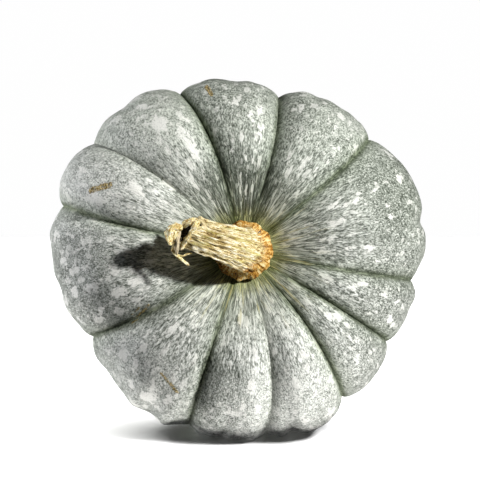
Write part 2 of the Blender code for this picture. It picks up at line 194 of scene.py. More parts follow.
def fruit_surface(turn, ring):
    """Points of the fruit with what the skin's material needs to know about each place."""
    place = (turn % 1.0) * LOBES
    lobe = np.floor(place).astype(int) % LOBES
    across = 2 * (place - np.floor(place)) - 1
    side = 0.5 * (across + np.sin(across * math.pi / 2))
    down = SEAT_ANGLE + (math.pi - SEAT_ANGLE) * np.clip((ring - SEAT_RINGS) / (RINGS - SEAT_RINGS), 0, 1)
    latitude = np.degrees(down)
    swing = smoothstep(*GROOVES_SWING, latitude)
    lines = STEM_ANGLE + (RIM_ANGLE - STEM_ANGLE) * swing[:, None]
    lines = np.concatenate([lines, lines[:, :1] + 360], axis=1)
    rows = np.arange(len(turn))
    start, end = lines[rows, lobe], lines[rows, lobe + 1]
    angle = np.radians(start + (end - start) * (side + 1) / 2)

    lobed = smoothstep(*LOBES_GROW, latitude) * (1 - smoothstep(*LOBES_SHRINK, latitude))
    radius = MEAN_RADIUS + (crest_radius(angle % (2 * math.pi)) - MEAN_RADIUS) * lobed
    wide, high, out, up = side_profile(down, radius)
    near = np.where(side < 0, lobe, (lobe + 1) % LOBES)
    sunk = sunk_depth(side, near, angle, down)
    wide, high = wide - out * sunk, high - up * sunk
    scar = 1 - smoothstep(*SCAR_EDGE, wide / SCAR_RADIUS)
    scar = np.where(down > math.pi / 2, scar, 0)
    high = high - SCAR_HEIGHT * scar
    on_seat = ring <= SEAT_RINGS
    wide = np.where(on_seat, SEAT_RADIUS * ring / SEAT_RINGS, wide)
    high = np.where(on_seat, SEAT_HEIGHT, high)
    slide = 1 - swing
    x = wide * np.cos(angle) + STEM_OFFSET[0] * slide
    y = wide * np.sin(angle) + STEM_OFFSET[1] * slide
    points = np.stack([x, y, high], axis=-1)
    outward = np.stack([np.cos(angle) * out, np.sin(angle) * out, up], axis=-1)
    lumps = noise_at(points, LUMP_SIZE) * LUMP_HEIGHT * smoothstep(*LUMPS_GROW, latitude)
    round_axis = np.stack([np.cos(angle), np.sin(angle)], axis=-1)
    arc = arc_length(down)
    grown = smoothstep(*RELIEF_GROWS, wide + NEARER_BEHIND * (latitude > 90))
    relief = skin_relief(points, round_axis, arc) * grown
    points = points + outward * (lumps + relief)[:, None]

    to_groove = (1 - np.abs(side)) * np.radians((end - start) / 2) * wide
    data = {
        "grain": np.column_stack([round_axis * 100, arc]),
        "own": points,
        "zones": side_by_side(wide, to_groove, GROOVE_SLOPE[near]),
        "ends": side_by_side(scar),
    }
    return points, data


ARC_STEPS = np.linspace(SEAT_ANGLE, math.pi, 400)
ARC_WIDE, ARC_HIGH, _, _ = side_profile(ARC_STEPS, MEAN_RADIUS)
ARC_TOTAL = np.concatenate([[0], np.cumsum(np.hypot(np.diff(ARC_WIDE), np.diff(ARC_HIGH)))])


def arc_length(down):
    """Distance along the skin from the stem's seat."""
    return np.interp(down, ARC_STEPS, ARC_TOTAL)


LAID = Matrix.Translation(Vector(ORIGIN)) @ Matrix.Rotation(math.radians(90 - LEAN_BACK), 4, "X")


def lay_down(points):
    """From the pumpkin's own frame, in millimetres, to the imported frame, in metres."""
    turn = np.array(LAID)
    return (np.asarray(points) @ turn[:3, :3].T + turn[:3, 3]) / 1000


def press_flat(points):
    """Flattens what would reach below the floor, with a short rounded edge."""
    z = points[:, 2] * 1000
    soft = (z + PRESS_BLEND) ** 2 / (4 * PRESS_BLEND)
    points[:, 2] = np.where(z < -PRESS_BLEND, 0, np.where(z < PRESS_BLEND, soft, z)) / 1000
    return points


def mesh_object(name, points, faces, data, look):
    mesh = bpy.data.meshes.new(name)
    mesh.from_pydata(points.tolist(), [], faces)
    for key, values in data.items():
        attribute = mesh.attributes.new(key, "FLOAT_VECTOR", "POINT")
        attribute.data.foreach_set("vector", np.ravel(values).astype(np.float32))
    mesh.materials.append(look)
    mesh.shade_smooth()
    mesh.update()
    piece = bpy.data.objects.new(name, mesh)
    bpy.context.scene.collection.objects.link(piece)
    return piece


def ring_faces(rings, sides):
    """Quads between rings of points that each go once round."""
    faces = []
    for r in range(rings - 1):
        low = r * sides
        for s in range(sides):
            t = (s + 1) % sides
            faces.append((low + s, low + t, low + sides + t, low + sides + s))
    return faces


def make_fruit(look):
    columns = LOBES * LOBE_STEPS
    turn = np.tile(np.arange(columns) / columns, RINGS - 1)
    ring = np.repeat(np.arange(1, RINGS), columns).astype(float)
    turn = np.concatenate([turn, [0, 0]])
    ring = np.concatenate([ring, [0, RINGS]])
    points, data = fruit_surface(turn, ring)
    top, bottom = len(points) - 2, len(points) - 1
    # The rings run down from the stem, so the quads are turned over to face outwards.
    faces = [tuple(reversed(f)) for f in ring_faces(RINGS - 1, columns)]
    last = (RINGS - 2) * columns
    for s in range(columns):
        t = (s + 1) % columns
        faces.append((top, s, t))
        faces.append((bottom, last + t, last + s))
    piece = mesh_object("fruit_skin", press_flat(lay_down(points)), faces, data, look)
    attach(piece, "root")
    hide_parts("fruit")
    return piece


def stem_middle(share):
    a, b, c, d = (np.array(p, float) for p in STEM_LINE)
    t = np.asarray(share, float)[..., None]
    return a * (1 - t) ** 3 + b * 3 * t * (1 - t) ** 2 + c * 3 * t**2 * (1 - t) + d * t**3


def stem_frames(count=121):
    """Middle points with two directions across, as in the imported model."""
    shares = np.linspace(0, 1, count)
    places = stem_middle(shares)
    across = Vector((1, 0, 0))
    rows = []
    for i in range(count):
        ahead = Vector(places[min(i + 1, count - 1)] - places[max(i - 1, 0)]).normalized()
        turned = float(smoothstep(FOOT_END, STRAIGHT_END, shares[i]))
        ahead = Vector((0, 0, 1)).lerp(ahead, turned).normalized()
        across = (across - ahead * across.dot(ahead)).normalized()
        rows.append((*places[i], *across, *ahead.cross(across)))
    return shares, np.array(rows)


FRAME_SHARES, FRAME_ROWS = stem_frames()


def frame_at(share):
    """Middle point and two directions across; past the end the line goes straight on."""
    rows = np.column_stack([np.interp(share, FRAME_SHARES, FRAME_ROWS[:, k]) for k in range(9)])
    past = np.maximum(np.asarray(share) - 1, 0) / FRAME_SHARES[1]
    places = rows[:, :3] + past[:, None] * (FRAME_ROWS[-1, :3] - FRAME_ROWS[-2, :3])
    return places, rows[:, 3:6], rows[:, 6:]


def wave(kind, angle):
    count, height, start = kind
    return height * np.cos(count * angle + start)


def torn_length(angle):
    """How far along the stem each side reaches, with a splintered edge."""
    ragged = sum(wave(kind, angle) for kind in TORN_WAVES)
    tongue = TONGUE_SHARE * np.exp(-(((angle - TONGUE_SIDE) / TONGUE_SPREAD) ** 4))
    round_axis = np.column_stack([np.cos(angle), np.sin(angle), np.zeros_like(angle)])
    splinters = sum(noise_at(round_axis * close, 1.0, seed) * length for close, seed, length in SPLINTERS)
    shorter = TORN_SHARE * (0.5 + 0.5 * np.cos(angle - TORN_SIDE))
    return 1 - shorter + ragged + TONGUE_KEPT * tongue + splinters


def seated(points):
    """From places measured from the middle of the foot's underside to the pumpkin's own frame."""
    return np.asarray(points, float) + (*STEM_OFFSET, SEAT_HEIGHT + STEM_GAP)


def stem_piece(name, points, faces, data, look):
    piece = mesh_object(name, lay_down(points), faces, data, look)
    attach(piece, "root")
    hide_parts("stem")
    return piece


def bark_relief(round_axis, base, own, on_neck):
    """Height of the bark's ridges, height of the foot's corky lumps, and how warty each place is."""
    along = own * STEM_LENGTH

    def drawn_out(closeness, length, seed):
        return noise_at(np.column_stack([round_axis * closeness, along / length]), 1.0, seed)

    def even(size, seed):
        return noise_at(np.column_stack([round_axis * base[:, None], along]), size, seed)

    fibres, fine, finest = drawn_out(5.0, 15, 11), drawn_out(11, 6.5, 12), drawn_out(24, 4.5, 13)
    ridges = 0.75 * (0.5 - 2 * np.abs(fibres)) + 0.55 * fine + 0.28 * finest + 0.65 * even(3.0, 17)
    ridges = ridges * (0.25 + 0.75 * on_neck)
    # The foot's edge is a ring of corky teeth with pits between them.
    teeth, warts, small_warts = drawn_out(11, 9, 14), even(2.4, 15), even(1.2, 16)
    rim = np.exp(-(((own - 0.05) / 0.045) ** 2))
    lumps = (0.20 * teeth + 0.50 * np.maximum(warts, -0.5) + 0.45 * small_warts) * rim
    return ridges, lumps, teeth + warts


def make_stem(look):
    """Rings from the foot's underside to the torn edge, then back down inside the hollow end."""
    outer = (np.arange(STEM_RINGS + 1) / STEM_RINGS) ** RING_CROWDING
    deep = np.concatenate([np.zeros(len(outer)), np.arange(1, HOLLOW_STEPS + 1) / HOLLOW_STEPS])
    share = np.concatenate([outer, np.ones(HOLLOW_STEPS)])
    share, deep = np.repeat(share, STEM_SIDES), np.repeat(deep, STEM_SIDES)
    angle = np.tile(np.arange(STEM_SIDES) * 2 * math.pi / STEM_SIDES, len(outer) + HOLLOW_STEPS)
    full = torn_length(angle)
    own = share * (1 + (full - 1) * smoothstep(TORN_FROM, 1, share))
    own = own + (HOLLOW_FLOOR - own) * deep
    place, right, over = frame_at(own)
    radii_at, radii = zip(*STEM_RADII)
    base = np.interp(own, radii_at, radii)
    on_neck = smoothstep(FOOT_END, RIBS_FULL, own)
    on_foot = 1 - smoothstep(FOOT_END, KNOBS_END, own)
    radius = base * (1 + (wave(RIBS, angle) + wave(FLUTES, angle)) * on_neck + wave(KNOBS, angle) * on_foot)

    round_axis = np.column_stack([np.cos(angle), np.sin(angle)])
    ridges, lumps, warty = bark_relief(round_axis, base, own, on_neck)
    to_edge = np.clip(full - own, 0, 1) * STEM_LENGTH
    lip = LIP_HEIGHT * np.exp(-((to_edge / LIP_REACH) ** 2)) * (deep == 0)
    radius = radius + np.where(deep > 0, 0, ridges + lumps + lip)

    # Inside, the wall thins to a torn edge and the hollow narrows as it goes down.
    along = own * STEM_LENGTH
    hollow = 1 - WALL_SHARE * smoothstep(0, 0.06, deep) - HOLLOW_TAPER * smoothstep(0.05, 1.0, deep)
    ragged = noise_at(np.column_stack([round_axis * 4, along / 5]), 1.0, 18) * RAGGED_HEIGHT
    radius = np.where(deep > 0, radius * hollow + ragged * smoothstep(0.0, 0.2, deep), radius)
    points = place + (right * np.cos(angle)[:, None] + over * np.sin(angle)[:, None]) * radius[:, None]
    # The foot meets the skin all round.
    points[:, 2] -= np.clip(FOOT_SINK * (1 - own / FOOT_SINK_END), 0, FOOT_SINK)
    count = len(points)
    floor_middle = frame_at(np.array([HOLLOW_FLOOR]))[0][0]
    points = seated(np.vstack([points, [(0, 0, -FOOT_SINK), floor_middle]]))
    faces = ring_faces(len(outer) + HOLLOW_STEPS, STEM_SIDES)
    for s in range(STEM_SIDES):
        t = (s + 1) % STEM_SIDES
        faces.append((count, t, s))
        faces.append((count + 1, count - STEM_SIDES + s, count - STEM_SIDES + t))
    middles = np.zeros((2, 3))
    data = {
        "grain": np.vstack([np.column_stack([round_axis * 12, along]), middles]),
        "zones": np.vstack([side_by_side(own, deep, ridges), [(0, 0, 0), (0, 1, 0)]]),
        "ends": np.vstack([side_by_side(to_edge, warty), middles]),
    }
    return stem_piece("stem_bark", points, faces, data, look)


# Torn strands: the radius of each at its two ends, how much wider it is midway, and points along it, counted
# from the middle of the foot's underside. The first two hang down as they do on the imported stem, and the grey
# fibres run up over the hollow. Then come the flap of the far wall that curls forwards, with a smaller one
# beside it, the crown over the bend, and the thick front lip of the tear.
STRANDS = (
    ("hanging_strand", 0.85, 0.65, 0.15, (
        (-38.4, 6.0, 36), (-39.3, 1.5, 37), (-39.4, -2.8, 36), (-36.6, -6.2, 35.5), (-30.9, -10.8, 36),
    )),
    ("side_twig", 0.55, 0.35, 0, (
        (-37.8, -4.6, 35.4), (-34.9, -5.3, 35.6), (-31.8, -4.1, 36), (-29.2, -3.7, 36.5),
    )),
    ("grey_fibre_a", 0.50, 0.75, 0.2, (
        (-36.2, 12.4, 33), (-37.0, 8.5, 39), (-37.6, 4.2, 41), (-38.3, 0.6, 39.5), (-38.9, -2.8, 36),
    )),
    ("grey_fibre_b", 0.40, 0.55, 0.3, (
        (-35.6, 11.0, 34), (-36.3, 6.8, 39.5), (-37.0, 2.8, 41.2), (-37.8, -0.8, 40), (-38.4, -4.2, 36),
    )),
    ("grey_fibre_c", 0.30, 0.40, 0.2, (
        (-35.2, 5.6, 34), (-36.0, 3.2, 38.5), (-36.8, 0.6, 40), (-37.3, -1.8, 39.5), (-37.9, -4.6, 36),
    )),
    ("far_flap", 0.9, 1.2, 0.95, (
        (-40.6, 0.8, 38), (-41.9, 3.6, 41.5), (-42.4, 6.6, 43), (-41.2, 9.3, 43.6), (-39.0, 10.6, 43),
        (-36.8, 11.0, 41), (-34.8, 10.6, 37.5),
    )),
    ("inner_flap", 0.9, 1.1, 0.75, (
        (-39.9, 2.4, 38.5), (-39.7, 5.2, 41.2), (-38.9, 7.6, 41.8), (-37.3, 9.6, 40.5),
    )),
    ("crown_tuft", 0.9, 0.9, 0.5, (
        (-34.8, 12.6, 38.5), (-31.6, 14.0, 40.5), (-28.6, 14.8, 41), (-25.6, 14.6, 40.5),
    )),
    ("crown_shred", 0.6, 0.7, 0.4, (
        (-33.6, 10.6, 39), (-31.4, 12.6, 41.5), (-28.4, 13.0, 42), (-26.2, 15.4, 41),
    )),
    ("front_lip", 1.05, 1.35, 0.35, (
        (-36.2, -1.8, 37.5), (-33.4, 2.0, 41.2), (-30.2, 6.2, 43.6), (-27.4, 10.6, 44.0), (-25.4, 15.0, 41.4),
    )),
    ("lip_thread", 0.45, 0.35, 0.2, (
        (-35.2, 0.8, 40.0), (-31.8, 5.0, 44.6), (-28.2, 8.2, 46.0), (-23.0, 10.6, 46.0),
    )),
)
FIRST_STRAND_SEED, FAR_FROM_EDGE = 30, 9.0


def smooth_line(points, count):
    """Evenly spread points of a smooth curve through the given ones."""
    points = np.asarray(points, float)
    padded = np.vstack([2 * points[0] - points[1], points, 2 * points[-1] - points[-2]])
    at = np.linspace(0, len(points) - 1, count)
    spot = np.minimum(at.astype(int), len(points) - 2)
    t = (at - spot)[:, None]
    a, b, c, d = (padded[spot + k] for k in range(4))
    return 0.5 * (2 * b + (c - a) * t + (2 * a - 5 * b + 4 * c - d) * t**2 + (3 * b - a - 3 * c + d) * t**3)


def make_strand(name, first, last, belly, line, seed, look):
    """A tapered, slightly flat and crooked strand of bark with rounded ends."""
    middles = smooth_line(line, STRAND_STEPS)
    share = np.linspace(0, 1, STRAND_STEPS)
    ahead = np.gradient(middles, axis=0)
    ahead = ahead / np.linalg.norm(ahead, axis=1)[:, None]
    right = np.cross(ahead, (0.3, 0.2, 0.93))
    right = right / np.linalg.norm(right, axis=1)[:, None]
    over = np.cross(ahead, right)
    cap = np.sqrt(np.clip(1 - (2 * share - 1) ** 14, 0, 1))
    radius = (first + (last - first) * share) * (1 + belly * np.sin(math.pi * share)) * (0.08 + 0.92 * cap)
    angle = np.tile(np.arange(STRAND_SIDES) * 2 * math.pi / STRAND_SIDES, STRAND_STEPS)
    row = np.repeat(np.arange(STRAND_STEPS), STRAND_SIDES)
    gone = row / STRAND_STEPS * np.linalg.norm(np.diff(middles, axis=0), axis=1).sum()
    round_axis = np.column_stack([np.cos(angle), np.sin(angle)])
    bumps = noise_at(np.column_stack([round_axis * 1.6, gone / 2.2]), 1.0, seed)
    ridge = noise_at(np.column_stack([round_axis * 3.5, gone / 6]), 1.0, seed + 1)
    reach = radius[row] * (1 + 0.55 * bumps + 0.40 * ridge)
    points = middles[row] + right[row] * (1.15 * np.cos(angle) * reach)[:, None]
    points = points + over[row] * (0.80 * np.sin(angle) * reach)[:, None]
    count = len(points)
    points = np.vstack([points, middles[0], middles[-1]])
    faces = ring_faces(STRAND_STEPS, STRAND_SIDES)
    for s in range(STRAND_SIDES):
        t = (s + 1) % STRAND_SIDES
        faces.append((count, t, s))
        faces.append((count + 1, count - STRAND_SIDES + s, count - STRAND_SIDES + t))
    tips = np.zeros((2, 3))
    greyness = np.full(count, 0.05 if name.startswith("grey") else 0.0)
    data = {
        "grain": np.vstack([np.column_stack([round_axis * radius[row][:, None], gone]), tips]),
        "zones": np.vstack([side_by_side(np.ones(count), greyness, 0.6 * bumps), tips + (1, 0, 0)]),
        "ends": np.vstack([side_by_side(np.full(count, FAR_FROM_EDGE), bumps), tips]),
    }
    return stem_piece(name, seated(points), faces, data, look)


class Graph:
    """Short calls for wiring one material."""

    def __init__(self, name):
        self.material = bpy.data.materials.new(name)
        self.material.use_nodes = True
        self.nodes = self.material.node_tree.nodes
        self.links = self.material.node_tree.links
        self.shader = self.nodes["Principled BSDF"]

    def plug(self, socket, value):
        if isinstance(value, bpy.types.NodeSocket):
            self.links.new(value, socket)
        else:
            socket.default_value = value

    def attribute(self, name):
        node = self.nodes.new("ShaderNodeAttribute")
        node.attribute_name = name
        return node.outputs["Vector"]

    def split(self, vector):
        node = self.nodes.new("ShaderNodeSeparateXYZ")
        self.plug(node.inputs[0], vector)
        return node.outputs

    def math(self, operation, a, b=0.0, c=0.0):
        node = self.nodes.new("ShaderNodeMath")
        node.operation = operation
        for socket, value in zip(node.inputs, (a, b, c)):
            self.plug(socket, value)
        return node.outputs[0]

    def add(self, a, b):
        return self.math("ADD", a, b)

    def times(self, a, b):
        return self.math("MULTIPLY", a, b)

    def weighted(self, *terms):
        """The sum of terms, each a value counted from its middle, times its strength."""
        total = None
        for value, middle, strength in terms:
            term = self.times(self.add(value, -middle), strength)
            total = term if total is None else self.add(total, term)
        return total

    def highest(self, values):
        top, *others = values
        for value in others:
            top = self.math("MAXIMUM", top, value)
        return top

    def clamped(self, value):
        node = self.nodes.new("ShaderNodeClamp")
        self.plug(node.inputs[0], value)
        return node.outputs[0]

    def stretch(self, vector, factors):
        return self.vector("MULTIPLY", vector, factors)

    def vector(self, operation, a, b):
        node = self.nodes.new("ShaderNodeVectorMath")
        node.operation = operation
        self.plug(node.inputs[0], a)
        self.plug(node.inputs[1], b)
        return node.outputs["Value" if operation in ("LENGTH", "DOT_PRODUCT") else "Vector"]

    def rise(self, value, low, high, to_low=0.0, to_high=1.0):
        """A smooth rise from to_low to to_high as value goes from low to high."""
        node = self.nodes.new("ShaderNodeMapRange")
        node.interpolation_type = "SMOOTHSTEP"
        for socket, x in zip(node.inputs, (value, low, high, to_low, to_high)):
            self.plug(socket, x)
        return node.outputs[0]

    def noise(self, vector, detail, roughness, distortion=0.0, colour=False):
        node = self.nodes.new("ShaderNodeTexNoise")
        self.plug(node.inputs["Vector"], vector)
        node.inputs["Scale"].default_value = 1.0
        node.inputs["Detail"].default_value = detail
        node.inputs["Roughness"].default_value = roughness
        node.inputs["Distortion"].default_value = distortion
        return node.outputs["Color" if colour else "Fac"]

    def cells(self, vector):
        """Distance to the middle of the nearest random cell, and a random number for that cell."""
        node = self.nodes.new("ShaderNodeTexVoronoi")
        self.plug(node.inputs["Vector"], vector)
        node.inputs["Scale"].default_value = 1.0
        return node.outputs["Distance"], self.split(node.outputs["Color"])[0]

    def worms(self, vector, width, distortion):
        """0 along thin winding lines and 1 between them."""
        middle = self.noise(vector, 1.0, 0.5, distortion)
        return self.rise(self.math("ABSOLUTE", self.add(middle, -0.5)), 0.0, width)

    def mix(self, share, a, b, blend="MIX"):
        node = self.nodes.new("ShaderNodeMix")
        node.data_type = "RGBA"
        node.blend_type = blend
        self.plug(node.inputs[0], share)
        for socket, value in zip(node.inputs[6:8], (a, b)):
            self.plug(socket, (*value, 1) if isinstance(value, tuple) else value)
        return node.outputs[2]

    def mix_vector(self, share, a, b):
        node = self.nodes.new("ShaderNodeMix")
        node.data_type = "VECTOR"
        self.plug(node.inputs[0], share)
        for socket, value in zip(node.inputs[4:6], (a, b)):
            self.plug(socket, value)
        return node.outputs[1]

    def ramp(self, value, stops):
        node = self.nodes.new("ShaderNodeValToRGB")
        self.plug(node.inputs[0], value)
        elements = node.color_ramp.elements
        while len(elements) < len(stops):
            elements.new(0.5)
        for element, (at, colour) in zip(elements, stops):
            element.position = at
            element.color = (*colour, 1)
        return node.outputs[0]

    def to_segment(self, place, a, b):
        """Distance from a place to the line from a to b."""
        a, b = Vector(a), Vector(b)
        along = b - a
        off = self.vector("SUBTRACT", place, tuple(a))
        share = self.vector("DOT_PRODUCT", off, tuple(along / along.length_squared))
        node = self.nodes.new("ShaderNodeVectorMath")
        node.operation = "SCALE"
        node.inputs[0].default_value = along
        self.plug(node.inputs["Scale"], self.clamped(share))
        return self.vector("LENGTH", self.vector("SUBTRACT", off, node.outputs[0]), (0, 0, 0))

    def bump(self, height, distance, strength):
        node = self.nodes.new("ShaderNodeBump")
        self.plug(node.inputs["Height"], height)
        node.inputs["Distance"].default_value = distance
        node.inputs["Strength"].default_value = strength
        return node.outputs[0]


# Stops of each colour ramp.
SKIN_COLOURS = (
    (0.0, (0.060, 0.068, 0.056)),
    (0.28, (0.165, 0.178, 0.155)),
    (0.52, (0.33, 0.345, 0.315)),
    (0.78, (0.54, 0.555, 0.525)),
    (1.0, (0.76, 0.765, 0.73)),
)
CRUST_COLOURS = ((0.40, (0.05, 0.035, 0.012)), (0.5, (0.27, 0.19, 0.06)), (0.60, (0.66, 0.53, 0.26)))
BARK_COLOURS = (
    (0.0, (0.045, 0.028, 0.012)),
    (0.20, (0.17, 0.11, 0.045)),
    (0.42, (0.43, 0.315, 0.120)),
    (0.62, (0.64, 0.515, 0.245)),
    (0.82, (0.82, 0.72, 0.45)),
    (1.0, (0.88, 0.84, 0.70)),
)
TORN_COLOURS = (
    (0.0, (0.08, 0.042, 0.012)),
    (0.20, (0.33, 0.21, 0.060)),
    (0.42, (0.60, 0.48, 0.19)),
    (0.62, (0.76, 0.67, 0.34)),
    (0.82, (0.87, 0.81, 0.52)),
    (1.0, (0.93, 0.91, 0.76)),
)
FOOT_COLOURS = (
    (0.0, (0.035, 0.012, 0.003)),
    (0.25, (0.28, 0.10, 0.012)),
    (0.5, (0.57, 0.27, 0.040)),
    (0.75, (0.76, 0.49, 0.13)),
    (1.0, (0.86, 0.74, 0.42)),
)
# The hollow end: dark brown inside, with painted shade taking it near black.
HOLLOW_SHADE_COLOURS = (
    (0.0, (0.006, 0.004, 0.003)),
    (0.45, (0.028, 0.019, 0.011)),
    (0.8, (0.16, 0.12, 0.075)),
    (1.0, (0.42, 0.35, 0.24)),
)

# Painted light and shade: sides of the fruit made paler or darker for how the light falls. For each side: the
# direction, the cosines from it between which the change comes in, how strong it is, and the distances from the
# stem's axis between which it comes in.
PAINTED_LIGHT_SIDES = (
    (139, 0.75, 0.93, 0.20, 42, 58),
    (293, 0.85, 0.98, 0.17, 25, 40),
    (93, 0.85, 0.97, -0.31, 66, 44),
    (59, 0.85, 0.97, 0.10, 40, 55),
    (-12, 0.55, 0.90, -0.07, 62, 90),
    (231, 0.85, 0.97, 0.10, 55, 85),
)

# Layers of pale blotches: their spacing, least and most radius as a share of it, and strength.
BLOTCHES = ((10.5, 0.02, 0.42, 0.92), (6.5, -0.05, 0.40, 0.72), (4.0, -0.15, 0.40, 0.50))

# Corky scratches and scabs on the skin: ends in the pumpkin's own frame, and half width, in millimetres.
SCABS = (
    ((-86.5, 37.6, 61.0), (-75.4, 40.4, 69.2), 1.8),
    ((-68.0, -38.0, 52.4), (-57.9, -31.1, 65.1), 0.8),
    ((-62.2, -40.0, 54.8), (-51.9, -28.9, 66.7), 0.8),
    ((-44.5, -69.5, 63.4), (-35.8, -80.7, 57.4), 0.9),
    ((-19.5, 103.0, 42.3), (-15.8, 95.6, 53.6), 1.2),
)


def drawn_out(g, grain, own, wide):
    """The grain, drawn out more and more towards the stem, in three stretches with ragged borders."""
    border = g.noise(g.stretch(own, (1 / 6,) * 3), 2.0, 0.6)
    reach = g.add(wide, g.times(g.add(border, -0.5), 30))
    outer = g.stretch(grain, (1.0, 1.0, 0.80))
    middle = g.stretch(grain, (0.72, 0.72, 0.38))
    inner = g.stretch(grain, (0.50, 0.50, 0.14))
    drawn = g.mix_vector(g.math("GREATER_THAN", reach, 44), inner, middle)
    return g.mix_vector(g.math("GREATER_THAN", reach, 76), drawn, outer)


# Painted light and shade: adds each side's paler or darker tone from the table.
def paint_light_by_side(g, tone, wide, east, north):
    for turn, low, high, strength, starts, full in PAINTED_LIGHT_SIDES:
        across, up = math.cos(math.radians(turn)), math.sin(math.radians(turn))
        towards = g.add(g.times(east, across), g.times(north, up))
        side = g.rise(g.math("DIVIDE", towards, g.math("MAXIMUM", wide, 1.0)), low, high)
        tone = g.add(tone, g.times(g.times(side, g.rise(wide, starts, full)), strength))
    return tone


def pale_blotches(g, grain, to_groove, east):
    """Separate pale blotches with ragged edges, fewer in the grooves and on the right-hand side."""
    ragged = g.noise(g.stretch(grain, (0.26, 0.26, 0.19)), 5.0, 0.68, 0.4)
    fewer = g.add(g.rise(to_groove, 1.5, 9, 0.16, 0.0), g.times(g.rise(east, 45, 80), 0.10))
    layers = []
    for spacing, least, most, strength in BLOTCHES:
        off, lot = g.cells(g.stretch(grain, (1 / spacing, 1 / spacing, 0.58 / spacing)))
        size = g.add(least, g.times(lot, most - least))
        edge = g.add(g.add(off, g.times(g.add(ragged, -0.5), 1.8)), fewer)
        layers.append(g.rise(g.math("SUBTRACT", edge, size), 0.07, -0.07, 0.0, strength))
    return g.highest(layers)


def scabs_on(g, own, fine):
    """How much of each place is scab: rough strips along wandering lines."""
    jitter = g.noise(g.stretch(own, (0.45,) * 3), 3.0, 0.6, colour=True)
    jitter = g.stretch(g.vector("SUBTRACT", jitter, (0.5,) * 3), (3.0,) * 3)
    wander = g.vector("ADD", own, jitter)
    strips = [g.rise(g.to_segment(wander, a, b), half + 0.5, half - 0.2) for a, b, half in SCABS]
    return g.times(g.highest(strips), g.rise(fine, 0.40, 0.50, 0.25, 1.0))


def grooves_greener_and_shaded(g, colour, to_groove, slope, medium):
    """The grooves, greener and darker with painted shade, less so if shallow, and how deep in a fold each place
    is.
    """
    fold = g.rise(g.add(to_groove, g.times(g.add(medium, -0.5), 3)), 3.4, 0.2)
    sharp = g.rise(slope, 0.86, 0.60, 0.25, 1.0)
    colour = g.mix(g.times(fold, g.times(sharp, 0.9)), colour, (0.40, 0.44, 0.33), "MULTIPLY")
    valley = g.times(g.rise(to_groove, 12, 1, 0.0, 0.35), sharp)
    return g.mix(valley, colour, (0.62, 0.69, 0.56), "MULTIPLY"), fold


def yellow_round_stem(g, colour, grain, wide, flecks, east, north):
    """A yellow-green halo round the stem, with yellow lines mostly to its lower right."""
    halo = g.rise(g.add(wide, g.times(g.add(flecks, -0.5), 18)), 31, 18)
    colour = g.mix(g.times(halo, 0.85), colour, (0.80, 0.78, 0.34), "MULTIPLY")
    lines = g.noise(g.stretch(grain, (0.20, 0.20, 0.03)), 3.0, 0.55)
    lower_right = g.rise(g.add(g.times(east, 0.7), g.times(north, -0.7)), -8, 22, 0.12, 1.0)
    lines = g.times(g.rise(lines, 0.58, 0.68), g.times(g.rise(wide, 60, 26), lower_right))
    return g.mix(g.times(lines, 0.55), colour, (0.62, 0.55, 0.24))


